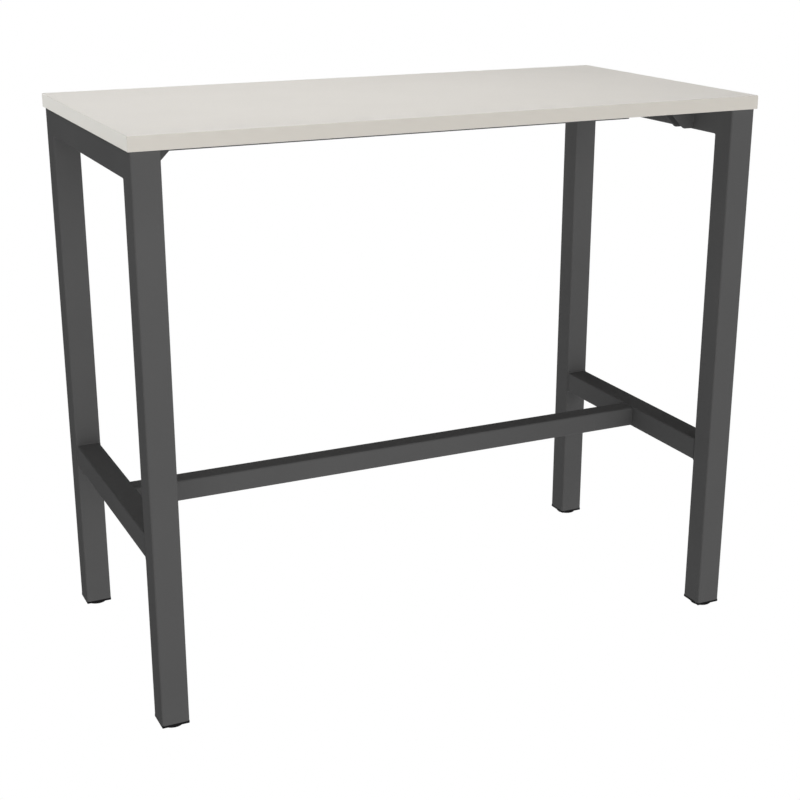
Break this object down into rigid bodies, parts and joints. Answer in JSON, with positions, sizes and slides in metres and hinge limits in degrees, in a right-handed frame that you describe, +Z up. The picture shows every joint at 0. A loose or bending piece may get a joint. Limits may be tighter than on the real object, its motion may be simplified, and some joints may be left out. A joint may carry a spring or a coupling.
{
  "type": "standing meeting table",
  "caption": "Tall rectangular meeting table on two square-tube end frames joined by a beam and a foot rail, with levelling feet.",
  "frame": {"origin": "on the floor, under the middle of the worktop", "axes": "+X along the table's length, +Y to its back, +Z up"},
  "size_m": [1.2, 0.6, 1.045],
  "materials": {
    "worktop_board": "raw particle board",
    "worktop_laminate": "fine pearl melamine, warm white",
    "worktop_underside": "plain backing melamine, warm white",
    "worktop_edge": "edge band, warm white, slightly satin",
    "frame_coat": "fine-texture powder coat, dark grey to black",
    "black_screws": "black oxide",
    "zinc_steel": "zinc plated",
    "foot_plastic": "moulded black polyamide",
    "bush_brass": "knurled brass"
  },
  "bodies": {
    "root": {"worktop_core": "worktop_board", "worktop_upper_laminate": "worktop_laminate", "worktop_lower_laminate": "worktop_underside", "edge_band_front": "worktop_edge", "edge_band_back": "worktop_edge", "edge_band_left": "worktop_edge", "edge_band_right": "worktop_edge", "leg_front_left": "frame_coat", "leg_front_right": "frame_coat", "leg_back_left": "frame_coat", "leg_back_right": "frame_coat", "top_rail_left": "frame_coat", "top_rail_right": "frame_coat", "foot_crossbar_left": "frame_coat", "foot_crossbar_right": "frame_coat", "under_top_beam": "frame_coat", "foot_rail": "frame_coat", "beam_spigot_left": "frame_coat", "beam_spigot_right": "frame_coat", "foot_rail_spigot_left": "frame_coat", "foot_rail_spigot_right": "frame_coat", "top_bracket_front_left": "frame_coat", "top_bracket_front_right": "frame_coat", "top_bracket_back_left": "frame_coat", "top_bracket_back_right": "frame_coat", "under_top_beam_screws": "black_screws", "foot_rail_screws": "black_screws", "under_top_beam_nuts": "zinc_steel", "foot_rail_nuts": "zinc_steel", "top_bracket_screws": "zinc_steel", "foot_insert_front_left": "foot_plastic", "foot_insert_front_right": "foot_plastic", "foot_insert_back_left": "foot_plastic", "foot_insert_back_right": "foot_plastic", "foot_bush_front_left": "bush_brass", "foot_bush_front_right": "bush_brass", "foot_bush_back_left": "bush_brass", "foot_bush_back_right": "bush_brass"},
    "pad_front_left": {"foot_pad_front_left": "foot_plastic"},
    "stud_front_left": {"foot_stud_front_left": "zinc_steel"},
    "pad_front_right": {"foot_pad_front_right": "foot_plastic"},
    "stud_front_right": {"foot_stud_front_right": "zinc_steel"},
    "pad_back_left": {"foot_pad_back_left": "foot_plastic"},
    "stud_back_left": {"foot_stud_back_left": "zinc_steel"},
    "pad_back_right": {"foot_pad_back_right": "foot_plastic"},
    "stud_back_right": {"foot_stud_back_right": "zinc_steel"}
  },
  "joints": [
    {"name": "foot_extend_front_left", "type": "slide", "parent": "root", "child": "pad_front_left", "axis": [0, 0, -1], "range_m": [0, 0.015]},
    {"name": "foot_screw_front_left", "type": "hinge", "parent": "pad_front_left", "child": "stud_front_left", "pos_m": [-0.571, -0.271, 0.0054], "axis": [0, 0, -1], "range_deg": [0, 4320]},
    {"name": "foot_extend_front_right", "type": "slide", "parent": "root", "child": "pad_front_right", "axis": [0, 0, -1], "range_m": [0, 0.015]},
    {"name": "foot_screw_front_right", "type": "hinge", "parent": "pad_front_right", "child": "stud_front_right", "pos_m": [0.571, -0.271, 0.0054], "axis": [0, 0, -1], "range_deg": [0, 4320]},
    {"name": "foot_extend_back_left", "type": "slide", "parent": "root", "child": "pad_back_left", "axis": [0, 0, -1], "range_m": [0, 0.015]},
    {"name": "foot_screw_back_left", "type": "hinge", "parent": "pad_back_left", "child": "stud_back_left", "pos_m": [-0.571, 0.271, 0.0054], "axis": [0, 0, -1], "range_deg": [0, 4320]},
    {"name": "foot_extend_back_right", "type": "slide", "parent": "root", "child": "pad_back_right", "axis": [0, 0, -1], "range_m": [0, 0.015]},
    {"name": "foot_screw_back_right", "type": "hinge", "parent": "pad_back_right", "child": "stud_back_right", "pos_m": [0.571, 0.271, 0.0054], "axis": [0, 0, -1], "range_deg": [0, 4320]}
  ],
  "couplings": [
    {"joint": "foot_screw_front_left", "follows": "foot_extend_front_left", "rad_per_m": 5026.5},
    {"joint": "foot_screw_front_right", "follows": "foot_extend_front_right", "rad_per_m": 5026.5},
    {"joint": "foot_screw_back_left", "follows": "foot_extend_back_left", "rad_per_m": 5026.5},
    {"joint": "foot_screw_back_right", "follows": "foot_extend_back_right", "rad_per_m": 5026.5}
  ]
}
